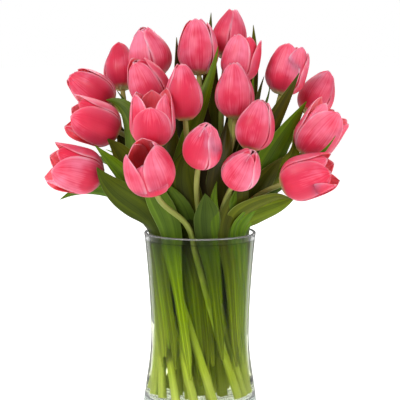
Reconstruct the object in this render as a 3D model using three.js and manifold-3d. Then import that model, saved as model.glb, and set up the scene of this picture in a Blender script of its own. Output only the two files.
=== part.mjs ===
// Twenty cut tulips with their leaves in a waisted clear glass vase of water.
// Millimetres, +Z up. The origin is the centre of the vase's flat underside, and -Y is the front.
import * as THREE from 'three';
import { mergeVertices } from 'three/addons/utils/BufferGeometryUtils.js';
import Module from 'manifold-3d';

const wasm = await Module();
wasm.setup();

// ---- Driving dimensions ----

const GAP = 0.3; // clearance between pieces that touch on the real object

// Vase: pressed clear glass, narrowest a little below half its height.
const VASE_HEIGHT = 190;
const WAIST_RADIUS = 51.7;
const WAIST_HEIGHT = 80;
const MOUTH_FLARE = 7.1; // how much wider than the waist the mouth's radius is
const MOUTH_CURVE = 1.7; // power of the flare's curve
const FOOT_FLARE = 9; // how much wider the foot would be where its curve runs out
const FOOT_REACH = 90; // height over which the foot's curve runs out
const WALL = 3;
const FLOOR = 14; // thick pressed bottom
const EDGE_ROUND = 3; // round of the foot's corners
const EDGE_MIDDLE = 0.3; // how far the middle of a round lies from the sharp corner, of its radius
const VASE_SIDES = 32;
const WALL_STEPS = 8;

const WATER_LEVEL = 182;
const WATER_SLIVER = 0.15; // faces thinner than this are taken out of the water, whose holes are many

// Stems: two rings round a middle one, twisted in the vase as a hand-tied spiral.
const STEM_RADIUS = 3;
const STEM_SIDES = 6;
const STEM_STEPS = 12;
const FOOT_LIFT = 1.1; // height of a stem's middle over the floor, where its slanted end touches
const SPIRAL = 75; // degrees that a stem's foot is turned from its place at the mouth
const STEM_EASE = 0.42; // share of the way to the bloom over which a stem keeps its direction
const RINGS = {
  outer: { foot: 38, mouth: 46 },
  inner: { foot: 18, mouth: 24 },
  middle: { foot: 0, mouth: 3 },
};

// Blooms: cups of six petals, widest at BELLY of their length.
const BELLY = 0.38;
const PETAL_WALL = 1.5;
const PETALS = 6;
const NOTCH = 0.87; // height of the notch between two petals, of the bloom's length
const RECEPTACLE = 3.4; // radius where the petals join the stem
const CUP_FLOOR = 0.2; // height of the cup's inner floor, of the bloom's length
const CUP_EDGE = 0.96; // height of the inner wall's upper end, of the bloom's length
const BLOOM_ROOM = 0.6; // clearance between a bloom and the leaves beside it
const OUTER_ROWS = 5;
const INNER_ROWS = 2;
const CLOSED = 0.5; // blooms that are open less than this are closed at the top
const CLOSED_RADIUS = 1.5; // radius of the hollow where a closed bloom's petals meet
const CLOSED_LEVEL = 0.85; // height of that hollow, of the bloom's length

// Leaves: long blades, folded along the midrib, outside the stems or between their two rings.
const LEAF_THICKNESS = 1.2;
const LEAF_ROWS = 12;
const LEAF_EASE = 0.35; // share of the way to its tip over which a leaf keeps its direction
const LEAF_SPIRAL = 30; // degrees that a leaf from the vase's floor would be turned there
const SHINGLE = 10; // degrees that every leaf is turned in the vase, to lie over the next
const LEAF_FOLD = 0.45; // depth of the fold at the lower end, of the half-width
const FOLD_EASE = 0.6; // share of that depth that is lost towards the tip
const LEAF_BROADEST = 0.4; // where a leaf is broadest, of its length above the mouth
const LEAF_FOOT = 0.3; // width of the lower end, of the width in the vase
const LEAF_FOOT_REACH = 0.15; // share of the length over which the lower end widens
const LEAF_SHEATH = 0.36; // width in the vase, of the full width
const LEAF_TAPER = 1.8; // power of the outline's curve towards the tip
const LEAF_TIP = 0.04; // width kept at the tip, of the full width
const LAYERS = {
  outer: { low: 44, mouth: 52 },
  inner: { low: 26, mouth: 35 },
};
const SLIVER = 0.05; // faces thinner than this are taken out of a leaf that its neighbours trim

// Each tulip: ring and slot angle at the mouth (0 is +X, 90 is the back), the base of its bloom,
// how far the bloom leans from upright and to which side, its length and largest radius,
// how wide it is open beside that radius, and how it is turned on its stem.
const TULIPS = [
  { ring: 'outer', slot: 76, base: [28, 62, 369], lean: [25, 70], size: [56, 19], open: 0.45, roll: 90 },
  { ring: 'inner', slot: 105, base: [-1, 24, 353], lean: [10, 104], size: [58, 21], open: 0.6, roll: 15 },
  { ring: 'outer', slot: 104, base: [-48, 38, 349], lean: [18, 140], size: [56, 23], open: 0.45, roll: 95 },
  { ring: 'outer', slot: 132, base: [-84, 76, 334], lean: [22, 105], size: [53, 18.5], open: 0.4, roll: 25 },
  { ring: 'inner', slot: 165, base: [-43, 3, 323], lean: [28, -168], size: [54, 21], open: 0.5, roll: 10 },
  { ring: 'middle', slot: 180, base: [-15, -29, 309], lean: [4, -166], size: [58, 19], open: 0.35, roll: 35 },
  { ring: 'outer', slot: 159, base: [-94, 53, 320], lean: [55, 175], size: [54, 20], open: 0.6, roll: 30 },
  { ring: 'outer', slot: 187, base: [-85, 6, 294], lean: [67, -167], size: [56, 23], open: 0.85, roll: 28 },
  { ring: 'inner', slot: 225, base: [-47, -51, 284], lean: [4, -134], size: [57, 23], open: 0.85, roll: 30 },
  { ring: 'outer', slot: 215, base: [-102, -8, 249], lean: [74, -166], size: [57, 24], open: 0.9, roll: 25 },
  { ring: 'outer', slot: 260, base: [-45, -72, 241], lean: [30, -117], size: [56, 25], open: 0.7, roll: 20 },
  { ring: 'outer', slot: 275, base: [-1, -66, 267], lean: [37, -74], size: [52, 19.5], open: 0.42, roll: 52 },
  { ring: 'outer', slot: 298, base: [34, -64, 247], lean: [45, -60], size: [50, 19], open: 0.42, roll: 10 },
  { ring: 'inner', slot: 285, base: [36, -16, 310], lean: [2, 90], size: [57, 20], open: 0.45, roll: 25 },
  { ring: 'inner', slot: 45, base: [39, 22, 346], lean: [12, 35], size: [50, 20], open: 0.75, roll: 0 },
  { ring: 'inner', slot: 345, base: [51, -46, 280], lean: [14, 7], size: [53, 19.5], open: 0.4, roll: 15 },
  { ring: 'outer', slot: 49, base: [86, 42, 331], lean: [16, 26], size: [54, 21.5], open: 0.75, roll: 10 },
  { ring: 'outer', slot: 21, base: [115, 58, 309], lean: [34, 29], size: [52, 19], open: 0.4, roll: 15 },
  { ring: 'outer', slot: 353, base: [107, -3, 272], lean: [38, -7], size: [58, 23], open: 0.85, roll: 32 },
  { ring: 'outer', slot: 325, base: [83, -45, 244], lean: [71, -10], size: [56, 23], open: 0.8, roll: 30 },
];

// Each leaf: its layer and angle at the mouth, the height of its lower end, the point that its
// bend leans to, its tip, its full width, and how far it is twisted above the mouth.
const LEAVES = [
  { layer: 'inner', at: 80, from: 150, bend: [8, 52, 350], tip: [12, 68, 418], width: 24, twist: 25 },
  { layer: 'inner', at: 55, from: 160, bend: [62, 48, 340], tip: [57, 56, 405], width: 24, twist: 25 },
  { layer: 'inner', at: 115, from: 150, bend: [-26, 62, 320], tip: [-25, 56, 392], width: 26, twist: 20 },
  { layer: 'inner', at: 225, from: 130, bend: [8, 12, 320], tip: [19, 8, 384], width: 20, twist: 45 },
  { layer: 'outer', at: 197, from: 90, bend: [-54, -4, 332], tip: [-99, 14, 327], width: 39, twist: 84 },
  { layer: 'outer', at: 207, from: 70, bend: [-76, -34, 250], tip: [-108, -34, 284], width: 22, twist: 60 },
  { layer: 'outer', at: 215, from: 50, bend: [-84, -42, 222], tip: [-106, -40, 262], width: 34, twist: 55 },
  { layer: 'outer', at: 186, from: 120, bend: [-105, 5, 248], tip: [-148, 12, 222], width: 26, twist: 50 },
  { layer: 'inner', at: 262, from: 40, bend: [-34, -48, 262], tip: [-3, -42, 285], width: 34, twist: 10 },
  { layer: 'outer', at: 280, from: 60, bend: [8, -62, 215], tip: [5, -66, 238], width: 28, twist: 0 },
  { layer: 'outer', at: 234, from: 40, bend: [-46, -46, 225], tip: [-58, -42, 262], width: 28, twist: 20 },
  { layer: 'inner', at: 0, from: 100, bend: [80, 2, 305], tip: [104, 12, 356], width: 26, twist: -70 },
  { layer: 'outer', at: 348, from: 60, bend: [72, -6, 262], tip: [112, 14, 326], width: 32, twist: -60 },
  { layer: 'outer', at: 322, from: 70, bend: [62, -42, 208], tip: [98, -34, 230], width: 30, twist: -40 },
  { layer: 'outer', at: 90, from: 60, bend: [4, 80, 270], tip: [-6, 104, 318], width: 36, twist: 0 },
  { layer: 'outer', at: 130, from: 80, bend: [-60, 62, 250], tip: [-104, 92, 268], width: 34, twist: 30 },
  { layer: 'outer', at: 50, from: 70, bend: [56, 60, 250], tip: [92, 98, 268], width: 34, twist: -30 },
  { layer: 'outer', at: 160, from: 100, bend: [-84, 30, 260], tip: [-138, 48, 268], width: 30, twist: 30 },
];

// ---- Materials ----

const GLASS = { color: 0xeef5f1, roughness: 0.05, metalness: 0, transparent: true, opacity: 0.35 };
const WATER = { color: 0xdfeee4, roughness: 0.05, metalness: 0, transparent: true, opacity: 0.4 };
const STEM_GREEN = { color: 0x8e9a4a, roughness: 0.5, metalness: 0 };
const PETAL_PINK = { color: 0xe8466a, roughness: 0.55, metalness: 0 };
const LEAF_GREEN = { color: 0x4a6b22, roughness: 0.5, metalness: 0 };

// ---- Helpers ----

const radians = THREE.MathUtils.degToRad;

/** A point at a distance and an angle from the vase's axis. */
function around(radius, angle, height) {
  return new THREE.Vector3(
    radius * Math.cos(radians(angle)),
    radius * Math.sin(radians(angle)),
    height,
  );
}

/** The unit vector that leans from upright by an angle, to one side. */
function leaning([lean, to]) {
  return around(Math.sin(radians(lean)), to, Math.cos(radians(lean)));
}

/** A closed geometry with only positions, whose shared corners are merged. */
function weld(geometry) {
  const bare = geometry.clone();
  bare.deleteAttribute('normal');
  bare.deleteAttribute('uv');
  return mergeVertices(bare, 1e-4);
}

/**
 * A geometry from rows of points, where each row is a closed loop and both ends are capped. The rows of a
 * sheet run along its upper face and back along its lower, and both faces are cut along the same diagonals,
 * so that a twisted sheet keeps its thickness.
 */
function loft(rows, isSheet = false) {
  const sides = rows[0].length;
  const points = rows.flat();
  const faces = [];
  for (let row = 0; row + 1 < rows.length; row += 1) {
    for (let side = 0; side < sides; side += 1) {
      const a = row * sides + side;
      const b = row * sides + (side + 1) % sides;
      if (isSheet && side >= sides / 2) faces.push(a, b, a + sides, b, b + sides, a + sides);
      else faces.push(a, b, b + sides, a, b + sides, a + sides);
    }
  }
  const last = (rows.length - 1) * sides;
  for (let side = 1; side + 1 < sides; side += 1) {
    faces.push(0, side + 1, side);
    faces.push(last, last + side, last + side + 1);
  }
  const geometry = new THREE.BufferGeometry().setFromPoints(points);
  geometry.setIndex(faces);
  return geometry;
}

/** The manifold-3d solid of a closed geometry. */
function solid(geometry) {
  const welded = weld(geometry);
  return new wasm.Manifold(new wasm.Mesh({
    numProp: 3,
    vertProperties: new Float32Array(welded.attributes.position.array),
    triVerts: new Uint32Array(welded.index.array),
  }));
}

/** The geometry of a manifold-3d solid. */
function geometryOf(body) {
  const { vertProperties, triVerts } = body.getMesh();
  const geometry = new THREE.BufferGeometry();
  geometry.setAttribute('position', new THREE.BufferAttribute(vertProperties, 3));
  geometry.setIndex(new THREE.BufferAttribute(triVerts, 1));
  return geometry;
}

/** The largest of the separate bodies that a cut leaves, without slivers. */
function largest(body, sliver) {
  const pieces = body.asOriginal().simplify(sliver).decompose();
  return pieces.reduce((best, piece) => (piece.volume() > best.volume() ? piece : best));
}

/** What is left of a solid once the given rooms are taken out of it. */
function without(body, rooms, sliver = SLIVER) {
  return largest(rooms.reduce((rest, room) => rest.subtract(room), body), sliver);
}

/** The number in a piece's name, from its place in its table. */
function numbered(index) {
  return String(index + 1).padStart(2, '0');
}

// ---- Vase and water ----

/** The vase's outer radius at a height. */
function vaseRadius(height) {
  if (height >= WAIST_HEIGHT) {
    const share = (height - WAIST_HEIGHT) / (VASE_HEIGHT - WAIST_HEIGHT);
    return WAIST_RADIUS + MOUTH_FLARE * share ** MOUTH_CURVE;
  }
  return WAIST_RADIUS + FOOT_FLARE * THREE.MathUtils.smoothstep(WAIST_HEIGHT - height, 0, FOOT_REACH);
}

/** Points along the vase's wall, moved inwards, from one height to another. */
function wallLine(inwards, start, end) {
  const points = [];
  for (let step = 0; step <= WALL_STEPS; step += 1) {
    const height = start + (end - start) * step / WALL_STEPS;
    points.push(new THREE.Vector2(vaseRadius(height) - inwards, height));
  }
  return points;
}

/** A solid of revolution about the vase's upright axis. */
function turned(profile) {
  return new THREE.LatheGeometry(profile, VASE_SIDES).rotateX(Math.PI / 2);
}

/** The glass vase: outer wall up, round rim, inner wall down to the thick floor. */
function vaseGeometry(grow = 0) {
  const rimCentre = VASE_HEIGHT - WALL / 2;
  const cornerCut = EDGE_ROUND * EDGE_MIDDLE;
  const outside = wallLine(-grow, EDGE_ROUND, rimCentre);
  const inside = wallLine(WALL + grow, rimCentre, FLOOR + EDGE_ROUND);
  return turned([
    new THREE.Vector2(0, -grow),
    new THREE.Vector2(vaseRadius(0) - EDGE_ROUND, -grow),
    new THREE.Vector2(vaseRadius(0) - cornerCut + grow, cornerCut),
    ...outside,
    new THREE.Vector2(vaseRadius(VASE_HEIGHT) - WALL / 2, VASE_HEIGHT + grow),
    ...inside,
    new THREE.Vector2(vaseRadius(FLOOR) - WALL - EDGE_ROUND - grow, FLOOR + grow),
    new THREE.Vector2(0, FLOOR + grow),
  ]);
}

/** The water before the stems and leaves are taken out of it. */
function waterGeometry() {
  const inwards = WALL + GAP;
  return turned([
    new THREE.Vector2(0, FLOOR + GAP),
    new THREE.Vector2(vaseRadius(FLOOR) - inwards - EDGE_ROUND, FLOOR + GAP),
    ...wallLine(inwards, FLOOR + EDGE_ROUND, WATER_LEVEL),
    new THREE.Vector2(0, WATER_LEVEL),
  ]);
}

// ---- Stems ----

/** A stem's centre line: straight in the vase, then bending to the base of its bloom. */
function stemLine({ ring, slot, base, lean }, grow) {
  const foot = around(RINGS[ring].foot, slot + SPIRAL, FLOOR + FOOT_LIFT);
  const mouth = around(RINGS[ring].mouth, slot, VASE_HEIGHT);
  const end = new THREE.Vector3(...base);
  const ease = mouth.distanceTo(end) * STEM_EASE;
  const along = mouth.clone().sub(foot).normalize();
  const line = new THREE.CurvePath();
  line.add(new THREE.LineCurve3(foot.addScaledVector(along, -2 * grow), mouth));
  line.add(new THREE.CubicBezierCurve3(
    mouth,
    mouth.clone().addScaledVector(along, ease),
    end.clone().addScaledVector(leaning(lean), -ease),
    end,
  ));
  return line;
}

/** A stem, or with grow the room that its neighbours leave for it. */
function stemGeometry(tulip, grow = 0) {
  const radius = grow ? (STEM_RADIUS + grow) / Math.cos(Math.PI / STEM_SIDES) : STEM_RADIUS;
  const section = new THREE.Shape();
  for (let side = 0; side < STEM_SIDES; side += 1) {
    const angle = 2 * Math.PI * side / STEM_SIDES;
    const corner = [radius * Math.cos(angle), radius * Math.sin(angle)];
    if (side === 0) section.moveTo(...corner);
    else section.lineTo(...corner);
  }
  section.closePath();
  return new THREE.ExtrudeGeometry(section, {
    steps: STEM_STEPS,
    extrudePath: stemLine(tulip, grow),
    bevelEnabled: false,
  });
}

// ---- Blooms ----

/** The radius of a bloom at a share of its length. */
function bloomRadius({ size: [, radius], open }, share) {
  if (share < BELLY) {
    return Math.max(RECEPTACLE, radius * Math.sqrt(1 - (1 - share / BELLY) ** 2));
  }
  return radius * (1 - (1 - open) * ((share - BELLY) / (1 - BELLY)) ** 2);
}

/** One level of a bloom: a loop whose height dips between the petals. */
function bloomRow(tulip, share, outwards = 0) {
  const [long] = tulip.size;
  const row = [];
  for (let corner = 0; corner < 2 * PETALS; corner += 1) {
    const level = share * (corner % 2 === 0 ? 1 : NOTCH);
    const angle = 360 * corner / (2 * PETALS) + tulip.roll;
    row.push(around(bloomRadius(tulip, level) + outwards, angle, level * long));
  }
  return row;
}

/** The level loop in which the petals of a closed bloom meet. */
function meetingRow({ size: [long], roll }) {
  const row = [];
  for (let corner = 0; corner < 2 * PETALS; corner += 1) {
    row.push(around(CLOSED_RADIUS, 360 * corner / (2 * PETALS) + roll, CLOSED_LEVEL * long));
  }
  return row;
}

/** A bloom with its base at the origin, opening upwards: a cup, or closed at the top. */
function bloomGeometry(tulip) {
  const rows = [];
  for (let row = 0; row <= OUTER_ROWS; row += 1) {
    rows.push(bloomRow(tulip, row / OUTER_ROWS));
  }
  if (tulip.open < CLOSED) return loft([...rows, meetingRow(tulip)]);
  for (let row = INNER_ROWS; row >= 0; row -= 1) {
    const share = CUP_FLOOR + (CUP_EDGE - CUP_FLOOR) * row / INNER_ROWS;
    rows.push(bloomRow(tulip, share, -PETAL_WALL));
  }
  return loft(rows);
}

/** The room that leaves keep clear of a bloom: its outer shape without the hollow, grown. */
function bloomRoom(tulip) {
  const rows = [];
  for (let row = 0; row <= OUTER_ROWS; row += 1) {
    rows.push(bloomRow(tulip, row / OUTER_ROWS, BLOOM_ROOM));
  }
  for (const point of rows[0]) point.z -= BLOOM_ROOM;
  for (const point of rows[OUTER_ROWS]) point.z += BLOOM_ROOM;
  return loft(rows);
}

/** How a bloom is turned and placed at the end of its stem. */
function bloomPlace({ base, lean }) {
  const axis = leaning(lean);
  const turn = new THREE.Quaternion().setFromUnitVectors(new THREE.Vector3(0, 0, 1), axis);
  const place = new THREE.Vector3(...base).addScaledVector(axis, GAP);
  return { place, turn };
}

// ---- Leaves ----

/** A leaf's midrib: straight in the vase, then bending to its tip. */
function leafLine({ layer, at, from, bend, tip }) {
  const turnedBy = LEAF_SPIRAL * (VASE_HEIGHT - from) / VASE_HEIGHT;
  const low = around(LAYERS[layer].low, at + turnedBy, from);
  const mouth = around(LAYERS[layer].mouth, at, VASE_HEIGHT);
  const end = new THREE.Vector3(...tip);
  const along = mouth.clone().sub(low).normalize();
  const line = new THREE.CurvePath();
  line.add(new THREE.LineCurve3(low, mouth));
  line.add(new THREE.CubicBezierCurve3(
    mouth,
    mouth.clone().addScaledVector(along, mouth.distanceTo(end) * LEAF_EASE),
    new THREE.Vector3(...bend),
    end,
  ));
  return line;
}

/** 0 below low, 1 above high, and a smooth step between them. */
function eased(value, low, high) {
  return THREE.MathUtils.smoothstep(value, low, high);
}

/** The width of a blade at a share of its length, of its full width: narrow in the vase, then broad. */
function leafOutline(share, atMouth, broadest) {
  const foot = LEAF_FOOT + (1 - LEAF_FOOT) * eased(share, 0, LEAF_FOOT_REACH);
  const sheath = LEAF_SHEATH + (1 - LEAF_SHEATH) * eased(share, atMouth / 2, broadest);
  const beyond = Math.max(0, (share - broadest) / (1 - broadest));
  return Math.max(LEAF_TIP, foot * sheath * (1 - beyond ** LEAF_TAPER));
}

/** A folded blade round its midrib. Each row runs along the upper face and back along the lower. */
function leafGeometry(leaf, grow = 0) {
  const line = leafLine(leaf);
  const atMouth = line.getCurveLengths()[0] / line.getLength();
  const broadest = atMouth + LEAF_BROADEST * (1 - atMouth);
  const sideways = around(1, leaf.at + 90, 0);
  const rows = [];
  for (let row = 0; row <= LEAF_ROWS; row += 1) {
    const share = row / LEAF_ROWS;
    const along = line.getTangent(share);
    const beyond = 2 * grow * ((row === LEAF_ROWS) - (row === 0));
    const point = line.getPoint(share).addScaledVector(along, beyond);
    const across = sideways.clone().addScaledVector(along, -sideways.dot(along)).normalize();
    const twisted = eased(share, atMouth, broadest);
    across.applyAxisAngle(along, radians(leaf.twist * twisted + SHINGLE * (1 - twisted)));
    const face = new THREE.Vector3().crossVectors(across, along).normalize();
    const half = leaf.width / 2 * leafOutline(share, atMouth, broadest) + grow;
    const fold = half * LEAF_FOLD * (1 - FOLD_EASE * share);
    const thick = LEAF_THICKNESS / 2 + grow;
    const corner = (side, up, depth) => point.clone()
      .addScaledVector(across, side * half)
      .addScaledVector(face, up * thick - depth);
    rows.push([
      corner(-1, 1, fold),
      corner(0, 1, 0),
      corner(1, 1, fold),
      corner(1, -1, fold),
      corner(0, -1, 0),
      corner(-1, -1, fold),
    ]);
  }
  return loft(rows, true);
}

// ---- The object ----

const bouquet = new THREE.Group();

/** Adds a named piece with a material of its own. */
function addPiece(name, geometry, finish) {
  const mesh = new THREE.Mesh(geometry, new THREE.MeshStandardMaterial(finish));
  mesh.name = name;
  bouquet.add(mesh);
  return mesh;
}

const stemRooms = [];
for (const [index, tulip] of TULIPS.entries()) {
  addPiece(`stem_${numbered(index)}`, stemGeometry(tulip), STEM_GREEN);
  stemRooms.push(solid(stemGeometry(tulip, GAP)));
}

const bloomRooms = [];
for (const [index, tulip] of TULIPS.entries()) {
  const { place, turn } = bloomPlace(tulip);
  const bloom = addPiece(`bloom_${numbered(index)}`, bloomGeometry(tulip), PETAL_PINK);
  bloom.position.copy(place);
  bloom.quaternion.copy(turn);
  bloomRooms.push(solid(bloomRoom(tulip).applyQuaternion(turn).translate(place.x, place.y, place.z)));
}

const fixedRooms = [solid(vaseGeometry(GAP)), ...stemRooms, ...bloomRooms];
const leafRooms = [];
for (const [index, leaf] of LEAVES.entries()) {
  const blade = without(solid(leafGeometry(leaf)), [...fixedRooms, ...leafRooms]);
  addPiece(`leaf_${numbered(index)}`, geometryOf(blade), LEAF_GREEN);
  leafRooms.push(solid(leafGeometry(leaf, GAP)));
}

const water = without(solid(waterGeometry()), [...stemRooms, ...leafRooms], WATER_SLIVER);
addPiece('water', geometryOf(water), WATER);
addPiece('vase', vaseGeometry(), GLASS);

export default bouquet;
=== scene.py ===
# Twenty cut tulips with their leaves in a waisted clear glass vase of water.
# Metres, +Z up. The vase stands at the origin and -Y is the front. Sizes are given in millimetres,
# but for the studio's distances, which are in metres.
import math

import bpy
import numpy as np
from mathutils import Matrix, Vector


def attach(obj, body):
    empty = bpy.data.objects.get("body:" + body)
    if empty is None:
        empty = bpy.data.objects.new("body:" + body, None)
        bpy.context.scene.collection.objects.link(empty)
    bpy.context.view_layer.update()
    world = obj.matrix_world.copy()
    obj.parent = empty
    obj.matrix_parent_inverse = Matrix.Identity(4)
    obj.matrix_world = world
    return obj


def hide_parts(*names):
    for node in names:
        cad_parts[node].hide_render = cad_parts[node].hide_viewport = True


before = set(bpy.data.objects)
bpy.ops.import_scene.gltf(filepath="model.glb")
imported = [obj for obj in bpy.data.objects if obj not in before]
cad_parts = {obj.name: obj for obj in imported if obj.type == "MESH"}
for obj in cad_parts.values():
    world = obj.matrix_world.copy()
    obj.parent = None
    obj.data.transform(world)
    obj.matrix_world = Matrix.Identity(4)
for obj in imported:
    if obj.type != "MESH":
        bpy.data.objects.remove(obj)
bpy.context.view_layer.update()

# ---- The studio ----
# A floor of white paper under a white tent. A large soft box stands on the left in front, a weaker
# one on the right, one behind, and a small low one at each side for the vase's edges. The camera is
# a long lens at the height of the blooms, looking slightly down.

MM = 0.001
scene = bpy.context.scene


def linear(text, alpha=1.0):
    """The linear colour of an sRGB hex value."""
    channels = [int(text[at:at + 2], 16) / 255 for at in (1, 3, 5)]
    return [c / 12.92 if c <= 0.04045 else ((c + 0.055) / 1.055) ** 2.4 for c in channels] + [alpha]


def add(tree, kind, inputs=None, **settings):
    """Adds a node with its settings, and its inputs set to values or hex colours or linked."""
    new = tree.nodes.new("ShaderNode" + kind)
    for name, value in settings.items():
        if name == "stops":
            ramp = new.color_ramp.elements
            while len(ramp) < len(value):
                ramp.new(1.0)
            for stop, (place, colour) in zip(ramp, value):
                stop.position = place
                stop.color = linear(colour)
        else:
            setattr(new, name, value)
    for name, value in (inputs or {}).items():
        if isinstance(value, bpy.types.NodeSocket):
            tree.links.new(value, new.inputs[name])
        elif isinstance(value, str):
            new.inputs[name].default_value = linear(value)
        else:
            new.inputs[name].default_value = value
    return new


def material(name):
    """A new material with an empty tree, and the tree's output node."""
    new = bpy.data.materials.new(name)
    new.use_nodes = True
    new.node_tree.nodes.clear()
    return new, new.node_tree, add(new.node_tree, "OutputMaterial")


def started(primitive, **sizes):
    """A new piece begun from a primitive, with nothing else selected."""
    bpy.ops.object.select_all(action="DESELECT")
    primitive(**sizes)
    return bpy.context.active_object


def choose(*pieces):
    """Selects some pieces and nothing else, with the first as the active one."""
    bpy.ops.object.select_all(action="DESELECT")
    for piece in pieces:
        piece.select_set(True)
    bpy.context.view_layer.objects.active = pieces[0]


def shaded(piece, finish, angle=None):
    """Gives a piece one material and smooth shading, but for edges sharper than an angle."""
    piece.data.materials.clear()
    piece.data.materials.append(finish)
    choose(piece)
    if angle is None:
        bpy.ops.object.shade_smooth()
    else:
        bpy.ops.object.shade_smooth_by_angle(angle=math.radians(angle))


scene.view_settings.view_transform = "Standard"

LOOK_AT = Vector((0, 0, 223)) * MM
CAMERA_AWAY = 1.8
CAMERA_ABOVE = math.radians(7)
camera_data = bpy.data.cameras.new("camera")
camera_data.lens = 154.3
camera_data.sensor_width = 36
camera = bpy.data.objects.new("camera", camera_data)
scene.collection.objects.link(camera)
away = Vector((0, -math.cos(CAMERA_ABOVE), math.sin(CAMERA_ABOVE)))
camera.location = LOOK_AT + away * CAMERA_AWAY
camera.rotation_euler = (-away).to_track_quat("-Z", "Y").to_euler()
scene.camera = camera

# The tent: white wherever it is seen, also through the glass. It is weaker as the light that falls
# on the flowers, so that the soft boxes shape them, and in reflections.
world = bpy.data.worlds.new("white_tent")
world.use_nodes = True
world.cycles.sampling_method = "NONE"
scene.world = world
tent = world.node_tree
tent.nodes.clear()
TENT_ON_FLOWERS = 0.38
IN_GLOSS = 0.35
tent_path = add(tent, "LightPath")
tent_falling = add(tent, "MapRange", {
    "Value": tent_path.outputs["Diffuse Depth"], "To Min": 1.0, "To Max": TENT_ON_FLOWERS})
tent_mirrored = add(tent, "MapRange", {
    "Value": tent_path.outputs["Glossy Depth"], "To Min": 1.0, "To Max": IN_GLOSS})
tent_strength = add(tent, "Math", {
    0: tent_falling.outputs["Result"], 1: tent_mirrored.outputs["Result"]}, operation="MINIMUM")
tent_light = add(tent, "Background", {"Color": "#FFFFFF", "Strength": tent_strength.outputs["Value"]})
add(tent, "OutputWorld", {"Surface": tent_light.outputs["Background"]})

# Each light: its name, place in metres, shape, width and height in metres, and power in watts.
for name, place, shape, size, height, power in (
        ("soft_box_left", (-1.0, -1.1, 1.6), "DISK", 0.8, 0.8, 28),
        ("soft_box_right", (1.3, -0.9, 0.8), "DISK", 0.8, 0.8, 9),
        ("soft_box_behind", (0.2, 1.4, 1.2), "DISK", 1.0, 1.0, 12),
        ("side_light_left", (-0.28, 0.27, 0.1), "RECTANGLE", 0.13, 0.24, 0.12),
        ("side_light_right", (0.28, 0.27, 0.1), "RECTANGLE", 0.13, 0.24, 0.12)):
    light = bpy.data.lights.new(name, "AREA")
    light.shape = shape
    light.size = size
    light.energy = power
    lamp = bpy.data.objects.new(name, light)
    lamp.location = place
    lamp.visible_camera = False
    if shape == "RECTANGLE":
        light.size_y = height
        lamp.visible_diffuse = False
        lamp.visible_transmission = False
    lamp.rotation_euler = (LOOK_AT - lamp.location).to_track_quat("-Z", "Y").to_euler()
    scene.collection.objects.link(lamp)

# The paper: matt white, so evenly lit that only the soft shadow round the vase shows. Like the
# tent, it is weaker in reflections.
FLOOR_WIDTH = 16
floor = started(bpy.ops.mesh.primitive_circle_add, vertices=64, radius=FLOOR_WIDTH / 2, fill_type="NGON")
floor.name = "paper_floor"
paper, tree, out = material("matt_white_background_paper")
paper_shader = add(tree, "BsdfPrincipled", {
    "Base Color": "#F4F4F2", "Roughness": 0.9, "Specular IOR Level": 0.1,
    "Emission Color": "#FFFFFF", "Emission Strength": 0.68})
paper.cycles.emission_sampling = "NONE"
paper_path = add(tree, "LightPath")
paper_mirrored = add(tree, "MapRange", {
    "Value": paper_path.outputs["Glossy Depth"], "To Max": 1 - IN_GLOSS})
paper_mix = add(tree, "MixShader", {
    0: paper_mirrored.outputs["Result"], 1: paper_shader.outputs["BSDF"]})
tree.links.new(paper_mix.outputs["Shader"], out.inputs["Surface"])
shaded(floor, paper)

# ---- The vase ----
# A gathering vase of clear soda glass, pressed and fire-polished: a thick flat bottom, a waist a
# little below half its height, and a rounded rim. It stands on its bottom.

VASE_HEIGHT = 190
WAIST_RADIUS = 51.7
WAIST_HEIGHT = 80
MOUTH_FLARE = 7.1
MOUTH_CURVE = 1.7
FOOT_FLARE = 9
FOOT_REACH = 90
WALL = 3
FLOOR_THICK = 14
FOOT_ROUND = 3
OUTSIDE_STEPS = 44
INSIDE_STEPS = 40
TURNED_STEPS = 112
MERGED_WITHIN = 0.01
SHARP_ANGLE = 40


def vase_radius(height):
    """The vase's outer radius at a height."""
    if height >= WAIST_HEIGHT:
        share = (height - WAIST_HEIGHT) / (VASE_HEIGHT - WAIST_HEIGHT)
        return WAIST_RADIUS + MOUTH_FLARE * share ** MOUTH_CURVE
    share = min((WAIST_HEIGHT - height) / FOOT_REACH, 1)
    return WAIST_RADIUS + FOOT_FLARE * share * share * (3 - 2 * share)


def quarter(centre, radius, start, turn, steps=5):
    """Points round a quarter circle, from an angle, turning by 90 degrees one way or the other."""
    return [(centre[0] + radius * math.cos(math.radians(start + turn * 90 * step / steps)),
             centre[1] + radius * math.sin(math.radians(start + turn * 90 * step / steps)))
            for step in range(steps + 1)]


def turned(name, section):
    """A solid turned about the vase's axis. Its section starts and ends on the axis."""
    piece = started(bpy.ops.mesh.primitive_circle_add, vertices=len(section), radius=MM)
    piece.name = name
    for vertex, (radius, height) in zip(piece.data.vertices, section):
        vertex.co = (radius * MM, 0, height * MM)
    bpy.ops.object.mode_set(mode="EDIT")
    bpy.ops.mesh.select_all(action="SELECT")
    bpy.ops.mesh.spin(steps=TURNED_STEPS, angle=2 * math.pi, center=(0, 0, 0), axis=(0, 0, 1))
    bpy.ops.mesh.select_all(action="SELECT")
    bpy.ops.mesh.remove_doubles(threshold=MERGED_WITHIN * MM)
    bpy.ops.mesh.dissolve_degenerate(threshold=MERGED_WITHIN * MM)
    bpy.ops.mesh.select_all(action="SELECT")
    bpy.ops.mesh.delete_loose()
    bpy.ops.mesh.select_all(action="SELECT")
    bpy.ops.mesh.normals_make_consistent(inside=False)
    bpy.ops.object.mode_set(mode="OBJECT")
    return piece


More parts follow.
